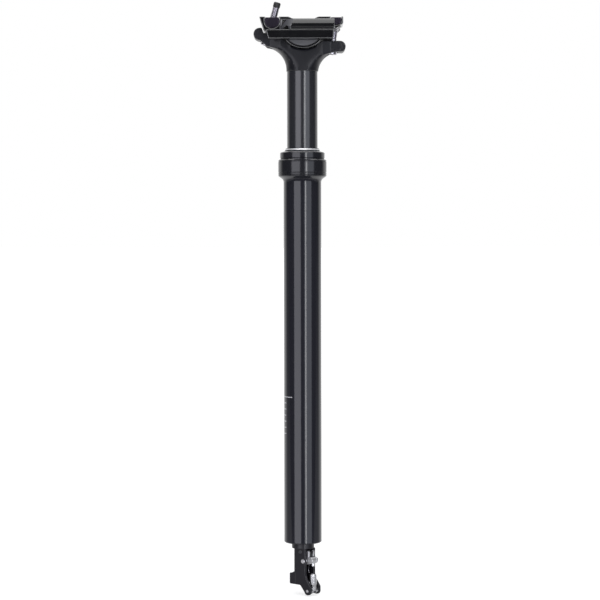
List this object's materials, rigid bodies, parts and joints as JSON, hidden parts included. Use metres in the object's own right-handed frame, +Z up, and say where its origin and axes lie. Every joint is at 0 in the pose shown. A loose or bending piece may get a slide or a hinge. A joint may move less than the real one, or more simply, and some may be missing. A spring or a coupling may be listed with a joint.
{
  "type": "dropper seatpost",
  "caption": "Height-adjustable bicycle seatpost: a stanchion slides in a lower tube, with a rocking saddle clamp on top and a cable-pulled release lever at the foot.",
  "frame": {"origin": "on the post's axis where the lower tube's wall begins, above the bevel of its rim", "axes": "+Z up the post's axis, +X forward on the bicycle, +Y to the rider's left"},
  "size_m": [0.0752, 0.056, 0.4865],
  "materials": {
    "tube_black": "satin black anodised tube",
    "collar_black": "turned and gloss black anodised",
    "stanchion_black": "polished hard black anodised",
    "forged_black": "blasted satin black anodised forging",
    "bright_steel": "plain bright steel",
    "nut_dark": "dark zinc-nickel plated steel",
    "bright_alloy": "turned bright alloy",
    "rubber_black": "matt seal rubber",
    "bushing_grey": "plain bearing polymer",
    "brass": "turned brass"
  },
  "bodies": {
    "outer": {"lower_tube": "tube_black", "seal_collar": "collar_black", "wiper_cap": "collar_black", "wiper_ring": "bright_alloy", "wiper_seal": "rubber_black", "upper_bushing": "bushing_grey", "collar_o_ring": "rubber_black", "foot_plug": "forged_black", "foot_circlip": "bright_steel", "cartridge_shaft": "bright_steel", "shaft_piston": "bushing_grey", "piston_ring": "rubber_black", "actuator_bracket": "forged_black", "lock_screw": "bright_steel", "lever_pivot_pin": "bright_steel", "pivot_clip": "bright_steel", "housing_stop": "bright_alloy", "stop_pins": "bright_steel", "return_spring": "bright_steel"},
    "post": {"stanchion": "stanchion_black", "saddle_head": "forged_black", "lower_bushing": "bushing_grey", "guide_keys": "brass", "cartridge_body": "bright_alloy", "cartridge_cap": "bright_alloy", "shaft_seal_head": "bushing_grey", "cartridge_retainer": "forged_black"},
    "clamp": {"lower_clamp": "forged_black", "upper_clamp": "forged_black"},
    "rear_nut": {"rear_barrel_nut": "nut_dark"},
    "front_nut": {"front_barrel_nut": "nut_dark"},
    "rear_bolt": {"rear_clamp_bolt": "bright_steel", "rear_bolt_washer": "bright_steel"},
    "front_bolt": {"front_clamp_bolt": "bright_steel", "front_bolt_washer": "bright_steel"},
    "lever": {"release_lever": "bright_steel", "cable_barrel": "bright_alloy", "cable_guide": "bright_alloy"},
    "valve": {"valve_rod": "bright_steel"}
  },
  "joints": [
    {"name": "post_slide", "type": "slide", "parent": "outer", "child": "post", "axis": [0, 0, 1], "range_m": [-0.058, 0.092]},
    {"name": "clamp_tilt", "type": "hinge", "parent": "post", "child": "clamp", "pos_m": [0.001, 0, 0.42412], "axis": [0, 1, 0], "range_deg": [-2, 14]},
    {"name": "rear_bolt_swing", "type": "hinge", "parent": "post", "child": "rear_bolt", "pos_m": [-0.02883, 0, 0.40992], "axis": [0, 1, 0], "range_deg": [-1.55, 0.56]},
    {"name": "front_bolt_swing", "type": "hinge", "parent": "post", "child": "front_bolt", "pos_m": [0.02373, 0, 0.40292], "axis": [0, 1, 0], "range_deg": [-0.88, 3.77]},
    {"name": "rear_nut_turn", "type": "hinge", "parent": "clamp", "child": "rear_nut", "pos_m": [-0.0245, 0, 0.42632], "axis": [0, 1, 0], "range_deg": [-15.55, 2.56]},
    {"name": "front_nut_turn", "type": "hinge", "parent": "clamp", "child": "front_nut", "pos_m": [0.0276, 0, 0.42732], "axis": [0, 1, 0], "range_deg": [-11.03, 1.92]},
    {"name": "valve_push", "type": "slide", "parent": "outer", "child": "valve", "axis": [0, 0, 1], "range_m": [0, 0.00165], "stiffness_N_per_m": 500, "springref_m": -0.001},
    {"name": "lever_pivot", "type": "hinge", "parent": "outer", "child": "lever", "pos_m": [0.00439, -0.00409, -0.0156], "axis": [0.682, 0.7314, 0], "range_deg": [0, 16], "deforming": ["return_spring"]}
  ],
  "couplings": [
    {"joint": "rear_bolt_swing", "follows": "clamp_tilt", "ratio": -0.082},
    {"joint": "front_bolt_swing", "follows": "clamp_tilt", "ratio": 0.241},
    {"joint": "rear_nut_turn", "follows": "clamp_tilt", "ratio": -1.082},
    {"joint": "front_nut_turn", "follows": "clamp_tilt", "ratio": -0.759},
    {"joint": "lever_pivot", "follows": "valve_push", "rad_per_m": 168.35}
  ]
}
